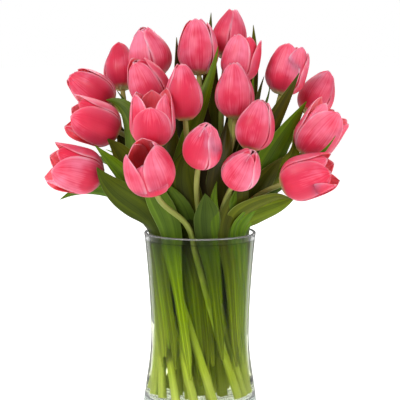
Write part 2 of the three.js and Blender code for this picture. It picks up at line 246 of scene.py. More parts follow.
foot_radius = vase_radius(0)
rim_radius = vase_radius(VASE_HEIGHT) - WALL / 2
rim_centre = VASE_HEIGHT - WALL / 2
outer_wall = [(vase_radius(h), h) for h in np.linspace(FOOT_ROUND, rim_centre, OUTSIDE_STEPS)]
inner_wall = [(vase_radius(h) - WALL, h)
              for h in np.linspace(rim_centre, FLOOR_THICK + FOOT_ROUND, INSIDE_STEPS)]
vase_section = (
    [(0, 0)]
    + quarter((foot_radius - FOOT_ROUND, FOOT_ROUND), FOOT_ROUND, -90, 1)
    + outer_wall[1:-1]
    + quarter((rim_radius, rim_centre), WALL / 2, 0, 1)
    + quarter((rim_radius, rim_centre), WALL / 2, 90, 1)[1:]
    + inner_wall[1:-1]
    + quarter((vase_radius(FLOOR_THICK) - WALL - FOOT_ROUND, FLOOR_THICK + FOOT_ROUND), FOOT_ROUND, 0, -1)
    + [(0, FLOOR_THICK)])
vase = turned("clear_glass_vase", vase_section)


def clear_finish(name, ior, face_on, shadow, depth, density, roughness=0.0, clearness=1.0):
    """A clear material: a grey face_on weakens its reflections face on and leaves those at the
    edges, shadow tints the light that falls through, and depth tints what is seen through it."""
    new, tree, out = material(name)
    shader = add(tree, "BsdfPrincipled", {
        "Base Color": "#FFFFFF", "Roughness": roughness, "IOR": ior, "Transmission Weight": clearness,
        "Specular Tint": face_on})
    path = add(tree, "LightPath")
    open_to_light = add(tree, "BsdfTransparent", {"Color": shadow})
    mix = add(tree, "MixShader", {
        0: path.outputs["Is Shadow Ray"], 1: shader.outputs["BSDF"], 2: open_to_light.outputs["BSDF"]})
    inside = add(tree, "VolumeAbsorption", {"Color": depth, "Density": density})
    tree.links.new(mix.outputs["Shader"], out.inputs["Surface"])
    tree.links.new(inside.outputs["Volume"], out.inputs["Volume"])
    return new


# Soda glass: clear, with a faint green cast where one looks through much of it, as at the edges.
glass = clear_finish("clear_soda_glass", ior=1.5, face_on="#707070", shadow="#F6FAF8",
                     depth="#CFE0D6", density=14.0)
shaded(vase, glass, SHARP_ANGLE)
# The fire-polished rim shines the most. It is paler and less clear than the walls: a painted
# highlight that stands in for the bright line of light along the rim.
rim_painted_highlight = clear_finish("fire_polished_rim_painted_highlight", ior=1.5, face_on="#FFFFFF", shadow="#F6FAF8",
                         depth="#CFE0D6", density=14.0, roughness=0.15, clearness=0.82)
vase.data.materials.append(rim_painted_highlight)
for face in vase.data.polygons:
    if face.center.z > (VASE_HEIGHT - WALL) * MM:
        face.material_index = 1
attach(vase, "root")
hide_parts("vase")

# ---- The water ----
# Clear water, filled to a finger's width below the rim. It wets the glass, where it draws itself
# up in a small curve. Its sides reach a tenth of a millimetre into the glass, so that no air is
# between the two.

WATER_LEVEL = 182
INTO_GLASS = 0.1
MENISCUS = 1.0
MENISCUS_REACH = 3.2
MENISCUS_STEPS = 6
WATER_SIDE_STEPS = 36
water_wall = [(vase_radius(h) - WALL + INTO_GLASS, h)
              for h in np.linspace(FLOOR_THICK + FOOT_ROUND, WATER_LEVEL + MENISCUS, WATER_SIDE_STEPS)]
water_edge = vase_radius(WATER_LEVEL) - WALL
water_top = [(water_edge - MENISCUS_REACH * share, WATER_LEVEL + MENISCUS * (1 - share) ** 2)
             for share in np.linspace(0.1, 1, MENISCUS_STEPS)]
water_section = (
    [(0, FLOOR_THICK - INTO_GLASS)]
    + [(vase_radius(FLOOR_THICK) - WALL - FOOT_ROUND, FLOOR_THICK - INTO_GLASS)]
    + water_wall + water_top + [(0, WATER_LEVEL)])
water = turned("clear_water", water_section)

# Fresh flower water: clear, with a trace of yellow-green from the stems that stand in it.
wet = clear_finish("fresh_flower_water", ior=1.333, face_on="#404040", shadow="#FAFCF4",
                   depth="#E8F080", density=8.0)
shaded(water, wet, SHARP_ANGLE)
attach(water, "root")
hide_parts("water")

# ---- The stems ----
# Twenty round, smooth tulip stems, thickest at the foot, cut straight across. They stand on the
# vase's floor in two rings round a middle one, turned in a spiral as they were gathered by hand,
# and above the rim they bend out to their blooms.

# Each tulip: ring and angle at the mouth, the base of its bloom, how far the bloom leans and to
# which side, its length and largest radius, how wide it is open, and how it is turned.
RINGS = {"outer": (38, 46), "inner": (18, 24), "middle": (0, 3)}
TULIPS = (
    ("outer", 76, (28, 62, 369), (25, 70), (56, 19), 0.45, 90),
    ("inner", 105, (-1, 24, 353), (10, 104), (58, 21), 0.6, 15),
    ("outer", 104, (-48, 38, 349), (18, 140), (56, 23), 0.45, 95),
    ("outer", 132, (-84, 76, 334), (22, 105), (53, 18.5), 0.4, 145),
    ("inner", 165, (-43, 3, 323), (28, -168), (54, 21), 0.5, 10),
    ("middle", 180, (-15, -29, 309), (4, -166), (58, 19), 0.35, 35),
    ("outer", 159, (-94, 53, 320), (55, 175), (54, 20), 0.6, 30),
    ("outer", 187, (-85, 6, 294), (67, -167), (56, 23), 0.85, 28),
    ("inner", 225, (-47, -51, 284), (4, -134), (57, 23), 0.85, 30),
    ("outer", 215, (-102, -8, 249), (74, -166), (57, 24), 0.9, 25),
    ("outer", 260, (-45, -72, 241), (30, -117), (56, 25), 0.7, 80),
    ("outer", 275, (-1, -66, 267), (37, -74), (52, 19.5), 0.42, 112),
    ("outer", 298, (34, -64, 247), (45, -60), (50, 19), 0.42, 10),
    ("inner", 285, (36, -16, 310), (2, 90), (57, 20), 0.45, 25),
    ("inner", 45, (39, 22, 346), (12, 35), (50, 20), 0.75, 0),
    ("inner", 345, (51, -46, 280), (14, 7), (53, 19.5), 0.4, 15),
    ("outer", 49, (86, 42, 331), (16, 26), (54, 21.5), 0.75, 10),
    ("outer", 21, (115, 58, 309), (34, 29), (52, 19), 0.4, 15),
    ("outer", 353, (107, -3, 272), (38, -7), (58, 23), 0.85, 32),
    ("outer", 325, (83, -45, 244), (71, -10), (56, 23), 0.8, 30),
)
SPIRAL = 75
FOOT_LIFT = 1.1
STEM_EASE = 0.42
STEM_SIDES = 12
STEM_RINGS = 64
STEM_FOOT_RADIUS = 4.3
STEM_TOP_RADIUS = 2.7
STEM_UNEVEN = 0.025
STEM_END_INSET = 0.22
STEM_SHARP_ANGLE = 50
# How many points a line has below the mouth and above it, and how many millimetres before and
# after a place its direction is taken.
LINE_STEPS = 60
BEND_STEPS = 90
DIRECTION_REACH = 1


def around(radius, angle, height):
    """A point at a distance and an angle from the vase's axis."""
    turn = math.radians(angle)
    return np.array([radius * math.cos(turn), radius * math.sin(turn), height])


def leaning(lean, to):
    """The unit vector that leans from upright by an angle, to one side."""
    return around(math.sin(math.radians(lean)), to, math.cos(math.radians(lean)))


def straight_then_bent(start, mouth, ahead, behind, end):
    """Points from a straight start through the vase's mouth and on along a bend to the end."""
    line = start + (mouth - start) * np.linspace(0, 1, LINE_STEPS)[:-1, None]
    t = np.linspace(0, 1, BEND_STEPS)[:, None]
    bend = ((1 - t) ** 3 * mouth + 3 * (1 - t) ** 2 * t * ahead
            + 3 * (1 - t) * t ** 2 * behind + t ** 3 * end)
    return np.concatenate([line, bend])


def along(points, shares):
    """Places at shares of a line's length, and the directions of the line there."""
    steps = np.linalg.norm(np.diff(points, axis=0), axis=1)
    lengths = np.concatenate([[0], np.cumsum(steps)])

    def place(at):
        return np.stack([np.interp(at, lengths, points[:, axis]) for axis in range(3)], axis=1)

    at = np.asarray(shares) * lengths[-1]
    ahead = place(np.minimum(at + DIRECTION_REACH, lengths[-1]))
    behind = place(np.maximum(at - DIRECTION_REACH, 0))
    way = ahead - behind
    return place(at), way / np.linalg.norm(way, axis=1, keepdims=True)


def stem_line(tulip):
    """A stem's middle line in millimetres."""
    ring, slot, base, lean = tulip[:4]
    foot = around(RINGS[ring][0], slot + SPIRAL, FLOOR_THICK + FOOT_LIFT)
    mouth = around(RINGS[ring][1], slot, VASE_HEIGHT)
    end = np.array(base, float)
    ease = np.linalg.norm(end - mouth) * STEM_EASE
    ahead = mouth + (mouth - foot) / np.linalg.norm(mouth - foot) * ease
    return straight_then_bent(foot, mouth, ahead, end - leaning(*lean) * ease, end)


def lines_along(tree, uv, across, changes, detail, roughness=0.5):
    """Lines along a stem or blade: how many lie across it, and how often they change on the way."""
    spread = add(tree, "Mapping", {"Vector": uv.outputs["UV"], "Scale": (across, changes, 1)})
    return add(tree, "TexNoise", {
        "Vector": spread.outputs["Vector"], "Scale": 1.0, "Detail": detail, "Roughness": roughness})


def gloss_above_water(tree, height, gloss):
    """The specular level of what stands in the water, which hardly shines below its surface."""
    return add(tree, "MapRange", {
        "Value": height.outputs["Z"], "From Min": (WATER_LEVEL - 1) * MM, "From Max": WATER_LEVEL * MM,
        "To Min": 0.02, "To Max": gloss})


# A living stem: smooth yellow-green with fine lines along it and a thin bloom of wax in patches
# about 22 mm across, and paler where it stood below the ground. A colour Mix node has its share
# at 0, its colours at 6 and 7 and its result at 2.
flesh, tree, out = material("tulip_stem")
uv = add(tree, "UVMap")
share = add(tree, "Attribute", attribute_name="share")
streaks = lines_along(tree, uv, 16, 5, detail=3.0)
coords = add(tree, "TexCoord")
patches = add(tree, "TexNoise", {"Vector": coords.outputs["Object"], "Scale": 45.0})
# The colour along the stem is partly painted light and shade: brightest yellow-green low in the water and
# darkest about the vase's mouth, in the shade of the leaves and blooms.
stem_green_and_painted_shading = add(tree, "ValToRGB", {"Fac": share.outputs["Fac"]}, stops=(
    (0.0, "#A4AC54"), (0.12, "#A8B43C"), (0.35, "#8CA20A"), (0.6, "#5C7006"), (0.72, "#84903A"),
    (1.0, "#9C9A56")))
streak_shade = add(tree, "MapRange", {
    "Value": streaks.outputs["Fac"], "From Min": 0.3, "From Max": 0.7, "To Max": 0.35})
stem_lined = add(tree, "Mix", {
    0: streak_shade.outputs["Result"], 6: stem_green_and_painted_shading.outputs["Color"], 7: "#3E5604"}, data_type="RGBA")
patch_shade = add(tree, "MapRange", {
    "Value": patches.outputs["Fac"], "From Min": 0.4, "From Max": 0.75, "To Max": 0.3})
stem_patched = add(tree, "Mix", {
    0: patch_shade.outputs["Result"], 6: stem_lined.outputs[2], 7: "#B9BC6A"}, data_type="RGBA")
height = add(tree, "SeparateXYZ", {"Vector": coords.outputs["Object"]})
stem_gloss = gloss_above_water(tree, height, 0.2)
stem_bump = add(tree, "Bump", {
    "Height": streaks.outputs["Fac"], "Strength": 0.35, "Distance": 0.15 * MM})
stem_shader = add(tree, "BsdfPrincipled", {
    "Base Color": stem_patched.outputs[2], "Roughness": 0.45, "Normal": stem_bump.outputs["Normal"],
    "Specular IOR Level": stem_gloss.outputs["Result"],
    "Subsurface Weight": 0.15, "Subsurface Scale": 1.5 * MM, "Subsurface Radius": (0.6, 1.0, 0.25)})
tree.links.new(stem_shader.outputs["BSDF"], out.inputs["Surface"])

# One straight stem, a unit long and a unit in radius, with many rings to bend it by.
straight_stem = started(
    bpy.ops.mesh.primitive_cylinder_add, vertices=STEM_SIDES, radius=1, depth=1, end_fill_type="NGON")
bpy.ops.object.mode_set(mode="EDIT")
bpy.ops.mesh.select_mode(type="EDGE")
bpy.ops.mesh.select_all(action="DESELECT")
bpy.ops.object.mode_set(mode="OBJECT")
for edge in straight_stem.data.edges:
    low, high = (straight_stem.data.vertices[index].co.z for index in edge.vertices)
    edge.select = abs(high - low) > 0.5
bpy.ops.object.mode_set(mode="EDIT")
bpy.ops.mesh.subdivide(number_cuts=STEM_RINGS - 1)
bpy.ops.mesh.select_all(action="DESELECT")
bpy.ops.mesh.select_mode(type="FACE")
bpy.ops.object.mode_set(mode="OBJECT")
for face in straight_stem.data.polygons:
    face.select = len(face.vertices) > 4
bpy.ops.object.mode_set(mode="EDIT")
bpy.ops.mesh.inset(thickness=STEM_END_INSET)
bpy.ops.object.mode_set(mode="OBJECT")
stem_points = np.array([vertex.co for vertex in straight_stem.data.vertices])
stem_shares = stem_points[:, 2] + 0.5
straight_stem.data.attributes.new("share", "FLOAT", "POINT").data.foreach_set("value", stem_shares)


def copied(piece):
    """A copy of a piece, with its own mesh."""
    new = piece.copy()
    new.data = piece.data.copy()
    scene.collection.objects.link(new)
    return new


rng = np.random.default_rng(20)
stem_lines = []
for number, tulip in enumerate(TULIPS, 1):
    line = stem_line(tulip)
    stem_lines.append(line)
    wander = rng.uniform(-1, 1, 4)
    stem = copied(straight_stem)
    stem.name = f"tulip_stem_{number:02d}"
    rings = np.linspace(0, 1, STEM_RINGS + 1)
    places, ways = along(line, rings)
    across = np.cross(ways[0], (0, 1, 0))
    frames = []
    for way in ways:
        across = across - way * across.dot(way)
        across = across / np.linalg.norm(across)
        frames.append((across, np.cross(way, across)))
    frames = np.array(frames)
    ring_of = np.clip(np.rint(stem_shares * STEM_RINGS).astype(int), 0, STEM_RINGS)
    share = rings[ring_of]
    radius = STEM_FOOT_RADIUS + (STEM_TOP_RADIUS - STEM_FOOT_RADIUS) * share
    radius = radius * (1 + STEM_UNEVEN * np.sin(9 * share + 3 * wander[0]) * wander[1])
    points = (places[ring_of] + frames[ring_of, 0] * (radius * stem_points[:, 0])[:, None]
              + frames[ring_of, 1] * (radius * stem_points[:, 1])[:, None])
    stem.data.vertices.foreach_set("co", (points * MM).ravel())
    shaded(stem, flesh, STEM_SHARP_ANGLE)
    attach(stem, "root")
    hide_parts(f"stem_{number:02d}")
bpy.data.objects.remove(straight_stem)

# ---- The blooms ----
# Each bloom is three outer petals over three inner ones, in turns of 120 degrees, on the end of
# its stem. The open ones show the green pistil and the six dark stamens at the bottom of the cup.

PETAL_ACROSS = 14
PETAL_ALONG = 18
PETAL_THICK = 0.6
# Sizes in millimetres, and shares of a bloom's length or radius. BELLY is the level at which a
# bloom is widest, and a bloom wider open than FULLY_LOOSE has all of its petals loose.
BELLY = 0.38
LEVEL_POWER = 1.35
SHOULDER_POWER = 1.9
RECEPTACLE_RADIUS = 1.5
OUTER_LAYER = 0.35
INNER_LAYER = -0.4
OUTER_WIDTH = 1.03
INNER_WIDTH = 0.88
LEAST_WIDTH = 0.25
INNER_LENGTH = 0.985
LENGTH_SPREAD = 0.04
TONE_SPREAD = 0.12
FULLY_LOOSE = 0.15
LOOSENESS = 1.6
FLARE = 0.7
FLARE_SPREAD = 0.9
ROLL = 1.02
LEAST_ROLL = 0.62
LAP = 0.4
RIPPLE = 0.2
GROOVE = 0.25
GROOVE_WIDTH = 0.14
CREASE = 0.35
FRILL = 0.5
# Petals that differ from the rest of their bloom: the bloom's number and the petal's, how much of
# its usual length it has, and how many millimetres its tip stands out.
PETALS_APART = {
    (2, 0): (0.96, 3), (5, 0): (0.95, 2.5), (7, 0): (1.0, 3), (8, 2): (0.98, 5), (9, 4): (0.74, 3),
    (9, 3): (0.98, 0.5), (9, 5): (1.0, 0.5), (10, 2): (0.95, 6), (11, 2): (0.88, 3), (11, 3): (0.8, 5.5),
    (12, 1): (1.04, 0.3), (12, 3): (1.04, 0.6), (12, 5): (1.04, 0.3),
    (13, 1): (1.04, 0.3), (13, 3): (1.04, 0.6), (13, 5): (1.04, 0.3),
    (15, 0): (0.94, 4), (16, 0): (0.96, 2), (17, 0): (0.97, 4.5), (17, 5): (1.02, 3),
    (19, 2): (0.98, 5), (19, 5): (1.0, 3), (20, 5): (0.98, 3), (20, 0): (1.0, 3),
}


def blade_places(tree):
    """Nodes for a petal's or leaf's own UV map, the place on it, and how far out that is."""
    uv = add(tree, "UVMap")
    place = add(tree, "SeparateXYZ", {"Vector": uv.outputs["UV"]})
    side = add(tree, "MapRange", {"Value": place.outputs["X"], "To Min": -1.0, "To Max": 1.0})
    outward = add(tree, "Math", {0: side.outputs["Result"]}, operation="ABSOLUTE")
    return uv, place, outward


def petal_material(name, colours, translucence):
    """A living petal's finish, from its colours (shade, body, light, edge and base) and translucence."""
    shade, body, light, edge, base = colours
    new, tree, out = material(name)
    uv, place, outward = blade_places(tree)
    tone = add(tree, "Attribute", attribute_name="tone")
    # Veins about a millimetre apart, running from the base to the tip, and clouds of colour about
    # 26 mm across.
    veins = lines_along(tree, uv, 30, 1.6, detail=4.0, roughness=0.6)
    coords = add(tree, "TexCoord")
    clouds = add(tree, "TexNoise", {"Vector": coords.outputs["Object"], "Scale": 38.0})
    flush = add(tree, "Math", {
        0: veins.outputs["Fac"], 1: 0.6, 2: clouds.outputs["Fac"]}, operation="MULTIPLY_ADD")
    toned = add(tree, "Math", {0: flush.outputs["Value"], 1: tone.outputs["Fac"]}, operation="ADD")
    # The colour is deepest low on the petal and fades towards its tip.
    faded = add(tree, "Math", {
        0: place.outputs["Y"], 1: 0.3, 2: toned.outputs["Value"]}, operation="MULTIPLY_ADD")
    blush = add(tree, "MapRange", {"Value": faded.outputs["Value"], "From Min": 0.6, "From Max": 1.32})
    skin = add(tree, "ValToRGB", {"Fac": blush.outputs["Result"]},
               stops=((0.0, shade), (0.5, body), (1.0, light)))
    # The flush thins out towards the sides, and the last three millimetres or so are pale.
    thinner = add(tree, "MapRange", {
        "Value": outward.outputs["Value"], "From Min": 0.35, "To Max": 0.3}, interpolation_type="SMOOTHSTEP")
    flushed = add(tree, "Mix", {
        0: thinner.outputs["Result"], 6: skin.outputs["Color"], 7: light}, data_type="RGBA")
    margin = add(tree, "MapRange", {
        "Value": outward.outputs["Value"], "From Min": 0.82, "To Max": 0.42}, interpolation_type="SMOOTHSTEP")
    uneven = add(tree, "MapRange", {
        "Value": clouds.outputs["Fac"], "From Min": 0.4, "From Max": 0.6, "To Min": 0.25})
    worn = add(tree, "Math", {
        0: margin.outputs["Result"], 1: uneven.outputs["Result"]}, operation="MULTIPLY")
    tip = add(tree, "MapRange", {
        "Value": place.outputs["Y"], "From Min": 0.96, "To Max": 0.4}, interpolation_type="SMOOTHSTEP")
    rim = add(tree, "Math", {0: worn.outputs["Value"], 1: tip.outputs["Result"]}, operation="MAXIMUM")
    edged = add(tree, "Mix", {
        0: rim.outputs["Value"], 6: flushed.outputs[2], 7: edge}, data_type="RGBA")
    foot = add(tree, "MapRange", {
        "Value": place.outputs["Y"], "From Min": 0.02, "From Max": 0.2, "To Min": 1.0, "To Max": 0.0},
        interpolation_type="SMOOTHSTEP")
    based = add(tree, "Mix", {
        0: foot.outputs["Result"], 6: edged.outputs[2], 7: base}, data_type="RGBA")
    bump = add(tree, "Bump", {"Height": veins.outputs["Fac"], "Strength": 0.3, "Distance": 0.25 * MM})
    shader = add(tree, "BsdfPrincipled", {
        "Base Color": based.outputs[2], "Roughness": 0.45, "Normal": bump.outputs["Normal"],
        "Specular IOR Level": 0.25, "Sheen Weight": 0.12, "Sheen Roughness": 0.45,
        "Sheen Tint": "#FFD5DE", "Subsurface Weight": translucence, "Subsurface Scale": 3 * MM,
        "Subsurface Radius": (1.0, 0.35, 0.3)})
    tree.links.new(shader.outputs["BSDF"], out.inputs["Surface"])
    return new


# Rose-pink petals: satin outside, with pale margins and a greenish-cream base. The inside is a
# warmer, more even pink, painted lighter than the outside: painted light for the shade of the cup.
petal_outside = petal_material(
    "rose_petal_outside", ("#CC2644", "#D82E4E", "#F57A95", "#FCD0DA", "#B8A05A"), 0.55)
petal_inside_painted_light = petal_material(
    "rose_petal_inside", ("#EA4A54", "#F05E6C", "#F67E8C", "#F8B4C0", "#D0A050"), 0.5)


def speckled(name, scale, stops, roughness):
    """A matt material with specks of its colours, so many of them to a metre."""
    new, tree, out = material(name)
    coords = add(tree, "TexCoord")
    specks = add(tree, "TexNoise", {"Vector": coords.outputs["Object"], "Scale": scale})
    colour = add(tree, "ValToRGB", {"Fac": specks.outputs["Fac"]}, stops=stops)
    shader = add(tree, "BsdfPrincipled", {
        "Base Color": colour.outputs["Color"], "Roughness": roughness})
    tree.links.new(shader.outputs["BSDF"], out.inputs["Surface"])
    return new


# The pistil and the stamens' threads are pale green, and the anthers dark, dusted with pollen.
pistil_skin = speckled("pistil_green", 900.0, ((0.3, "#9FAE55"), (0.7, "#C8CF8A")), 0.5)
pollen = speckled("pollen_on_anthers", 1600.0, ((0.35, "#2A1A22"), (0.7, "#6A4A3C")), 0.8)

# One flat petal blade, whose points are later set out along each bloom.
flat_petal = started(
    bpy.ops.mesh.primitive_grid_add, x_subdivisions=PETAL_ACROSS, y_subdivisions=PETAL_ALONG, size=2)
flat_points = np.array([vertex.co for vertex in flat_petal.data.vertices])
petal_u = flat_points[:, 0]
petal_v = (flat_points[:, 1] + 1) / 2
flat_petal.data.attributes.new("tone", "FLOAT", "POINT")

# One pistil with its stamens, with its foot just above the origin. The pistil is three-lobed, most
# of all at its stigma, which spreads at the top.
PISTIL_RADIUS = 2.3
PISTIL_LENGTH = 15
PISTIL_MIDDLE = 9.5
STIGMA_ABOVE = 8
STAMENS_OUT = 5.2
STAMEN_TILT = 9
pistil = started(
    bpy.ops.mesh.primitive_cylinder_add, vertices=12, radius=PISTIL_RADIUS * MM,
    depth=PISTIL_LENGTH * MM, location=(0, 0, PISTIL_MIDDLE * MM))
bpy.ops.object.mode_set(mode="EDIT")
bpy.ops.mesh.select_mode(type="FACE")
bpy.ops.mesh.select_all(action="DESELECT")
bpy.ops.object.mode_set(mode="OBJECT")
for face in pistil.data.polygons:
    face.select = face.normal.z > 0.9
bpy.ops.object.mode_set(mode="EDIT")
for lift, spread in ((0.8, 1.3), (1.2, 1.35), (1.0, 0.75), (0.5, 0.6)):
    bpy.ops.mesh.extrude_region_move(TRANSFORM_OT_translate={"value": (0, 0, lift * MM)})
    bpy.ops.transform.resize(value=(spread, spread, 1))
bpy.ops.object.mode_set(mode="OBJECT")
for vertex in pistil.data.vertices:
    turn = math.atan2(vertex.co.y, vertex.co.x)
    lobe = 1 + (0.28 if vertex.co.z > STIGMA_ABOVE * MM else 0.1) * math.cos(3 * turn)
    vertex.co.x *= lobe
    vertex.co.y *= lobe
shaded(pistil, pistil_skin)
heart_parts = [pistil]
for count in range(6):
    place = around(STAMENS_OUT, 60 * count + 30, 0)
    tilt = Matrix.Rotation(math.radians(STAMEN_TILT), 3, Vector((-place[1], place[0], 0)))
    # A stamen's thread and its anther: radius, lower end and upper end.
    for finish, radius, low, high in ((pistil_skin, 0.55, 1.5, 9), (pollen, 1.15, 8, 18)):
        part = started(bpy.ops.mesh.primitive_uv_sphere_add, segments=8, ring_count=7, radius=1)
        for vertex in part.data.vertices:
            point = Vector((vertex.co.x * radius, vertex.co.y * radius,
                            (low + high) / 2 + vertex.co.z * (high - low) / 2))
            vertex.co = (tilt @ point + Vector(place)) * MM
        shaded(part, finish)
        heart_parts.append(part)
choose(*heart_parts)
bpy.ops.object.transform_apply(location=True, rotation=True, scale=True)
bpy.ops.object.join()
heart = pistil


def smooth(value, low, high):
    """0 below low, 1 above high, and a smooth step between them."""
    share = np.clip((value - low) / (high - low), 0, 1)
    return share * share * (3 - 2 * share)


def mark(piece, name, value):
    """Sets one of a piece's attributes to the same value all over."""
    values = np.full(len(piece.data.vertices), value)
    piece.data.attributes[name].data.foreach_set("value", values)


def thicken(sheet, thick, inner_finish=0):
    """Gives the active sheet its thickness, with its inner side's finish, and rounds it."""
    solidify = sheet.modifiers.new("thickness", "SOLIDIFY")
    solidify.thickness = thick * MM
    solidify.offset = 0
    solidify.material_offset = inner_finish
    rounding = sheet.modifiers.new("rounding", "SUBSURF")
    rounding.levels = 1
    rounding.render_levels = 1
    bpy.ops.object.modifier_apply(modifier="thickness")
    bpy.ops.object.modifier_apply(modifier="rounding")


def petal_points(bloom, outer, draw, shorter, apart):
    """One petal's points in millimetres, with its middle in the +X direction of the bloom."""
    long, radius, tip = bloom
    tip_loose = min(tip / FULLY_LOOSE, 1)
    if not outer:
        tip = tip * smooth(tip, 0, 0.6)
    long = long * (1 + draw[0] * LENGTH_SPREAD * tip_loose) * (1 if outer else INNER_LENGTH) * shorter
    level = petal_v ** LEVEL_POWER
    below = radius * np.sqrt(np.clip(1 - (1 - level / BELLY) ** 2, 0, 1))
    above = radius * (1 - (1 - tip) * np.clip((level - BELLY) / (1 - BELLY), 0, 1) ** SHOULDER_POWER)
    body = np.where(level < BELLY, np.maximum(below, RECEPTACLE_RADIUS), above)
    layer = OUTER_LAYER if outer else INNER_LAYER
    loose = abs(draw[1]) if outer else -abs(draw[1])
    spread = (loose * LOOSENESS * tip + apart) * smooth(level, 0.35, 1.0)
    flare = (FLARE + FLARE_SPREAD * draw[4]) * tip_loose * smooth(level, 0.86, 1.0)
    body = body + layer + spread + flare
    # The outline: widest at half its length, with a rounded tip that ends in a small point.
    lower = 0.3 + 0.7 * np.sin(np.pi / 2 * np.clip(petal_v / 0.5, 0, 1)) ** 0.9
    upper = (1 - np.clip((petal_v - 0.5) / 0.5, 0, 1) ** 2.6) ** 0.68
    half = radius * (OUTER_WIDTH if outer else INNER_WIDTH) * np.where(petal_v < 0.5, lower, upper)
    half = np.maximum(half, LEAST_WIDTH)
    curve = np.maximum(body * ROLL, radius * LEAST_ROLL)
    turn = petal_u * half / curve
    if outer:
        lap = ((0.2 + 0.1 * draw[2]) * petal_u - LAP * petal_u ** 2) * smooth(level, 0.1, 0.5)
        curl = 0.5 * abs(draw[3]) * np.abs(petal_u) ** 3 * smooth(level, 0.7, 0.95)
    else:
        lap = -LAP * petal_u ** 2
        curl = (0.2 + 0.4 * abs(draw[3])) * petal_u ** 2 * smooth(level, 0.75, 1.0)
    ripple = RIPPLE * np.sin(7 * petal_v + 5 * draw[4]) * petal_u ** 2 * np.sign(petal_u + 0.01)
    groove = -GROOVE * np.exp(-(petal_u / GROOVE_WIDTH) ** 2) * smooth(level, 0.05, 0.3) * (1 - 0.6 * level)
    crease = CREASE * np.sin(9 * petal_u + 4 * draw[2]) * smooth(level, 0.55, 1.0) * (0.4 + abs(draw[0]))
    frill = FRILL * smooth(level, 0.8, 1.0) * (0.3 + 0.7 * tip_loose)
    frilled = frill * np.sin(9 * petal_u + 6 * draw[5])
    out = body - curve + curve * np.cos(turn) + lap + curl + ripple + groove + crease + frilled
    side = curve * np.sin(turn) + draw[5] * 1.2 * level
    height = level * long + frill * np.sin(11 * petal_u + 5 * draw[1])
    return np.stack([out, side, height], axis=1)


# A bloom that is wider open than this shows its pistil and stamens.
HEART_SHOWS = 0.5
rng = np.random.default_rng(7)
for number, tulip in enumerate(TULIPS, 1):
    base, (lean, to), (long, radius), wide, roll = tulip[2:]
    axis = Vector(leaning(lean, to))
    turn = Vector((0, 0, 1)).rotation_difference(axis).to_matrix().to_4x4()
    place = Matrix.Translation(Vector(base) * MM) @ turn
    petals = []
    for count in range(6):
        outer = count % 2 == 0
        draw = rng.uniform(-1, 1, 7)
        petal = copied(flat_petal)
        shorter, apart = PETALS_APART.get((number, count), (1, 0))
        points = petal_points((long, radius, wide ** 2), outer, draw, shorter, apart)
        spin = Matrix.Rotation(math.radians(roll + 60 * count), 4, "Z")
        whole = np.array((place @ spin).to_3x3())
        points = points @ whole.T * MM + np.array(place.translation)
        petal.data.vertices.foreach_set("co", points.ravel())
        mark(petal, "tone", draw[6] * TONE_SPREAD)
        petals.append(petal)
    choose(*petals)
    bpy.ops.object.join()
    bloom = petals[0]
    bloom.name = f"tulip_bloom_{number:02d}"
    bloom.data.materials.clear()
    for finish in (petal_outside, petal_inside_painted_light):
        bloom.data.materials.append(finish)
    bpy.ops.object.shade_smooth()
    thicken(bloom, PETAL_THICK, inner_finish=1)
    if wide > HEART_SHOWS:
        inside = copied(heart)
        inside.data.transform(place)
        choose(bloom, inside)
        bpy.ops.object.join()
    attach(bloom, "root")
    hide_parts(f"bloom_{number:02d}")
bpy.data.objects.remove(flat_petal)
bpy.data.objects.remove(heart)

# ---- The leaves ----
# Long fleshy tulip leaves, folded along the middle and a little wavy at the edges. Each stands in
# the vase outside the stems or between their two rings, and bends out above the rim.

# Each leaf: its layer and angle at the mouth, the height of its lower end, the point that its bend
# leans to, its tip, its full width, how far it is twisted above the mouth, and its tone: 0 is
# dull green, 0.4 a fresh green, 0.7 olive and 1 a nearly black brown that is painted shade.
LAYERS = {"outer": (44, 52), "inner": (26, 35)}
LEAVES = (
    ("inner", 80, 150, (8, 52, 350), (12, 68, 418), 24, 25, 0.7),
    ("inner", 55, 160, (62, 48, 340), (57, 56, 405), 24, 25, 0.7),
    ("inner", 115, 150, (-26, 62, 320), (-25, 56, 392), 26, 20, 0.9),
    ("inner", 225, 130, (8, 12, 320), (19, 8, 384), 20, 45, 0.5),
    ("outer", 197, 90, (-54, -4, 332), (-99, 14, 327), 39, 84, 0.0),
    ("outer", 207, 70, (-76, -34, 250), (-108, -34, 284), 22, 60, 0.45),
    ("outer", 215, 50, (-84, -42, 222), (-106, -40, 262), 34, 55, 0.6),
    ("outer", 186, 120, (-105, 5, 248), (-148, 12, 222), 26, 50, 0.4),
    ("inner", 262, 40, (-34, -48, 262), (-3, -42, 285), 34, 10, 0.65),
    ("outer", 280, 60, (8, -62, 215), (5, -66, 238), 28, 0, 0.05),
    ("outer", 234, 40, (-46, -46, 225), (-58, -42, 262), 28, 20, 0.15),
    ("inner", 0, 100, (80, 2, 305), (104, 12, 356), 26, -70, 0.9),
    ("outer", 348, 60, (72, -6, 262), (112, 14, 326), 32, -60, 0.4),
    ("outer", 322, 70, (62, -42, 208), (98, -34, 230), 30, -40, 0.6),
    ("outer", 90, 60, (4, 80, 270), (-6, 104, 318), 36, 0, 0.4),
    ("outer", 130, 80, (-60, 62, 250), (-104, 92, 268), 34, 30, 0.2),
    ("outer", 50, 70, (56, 60, 250), (92, 98, 268), 34, -30, 0.5),
    ("outer", 160, 100, (-84, 30, 260), (-138, 48, 268), 30, 30, 0.4),
)
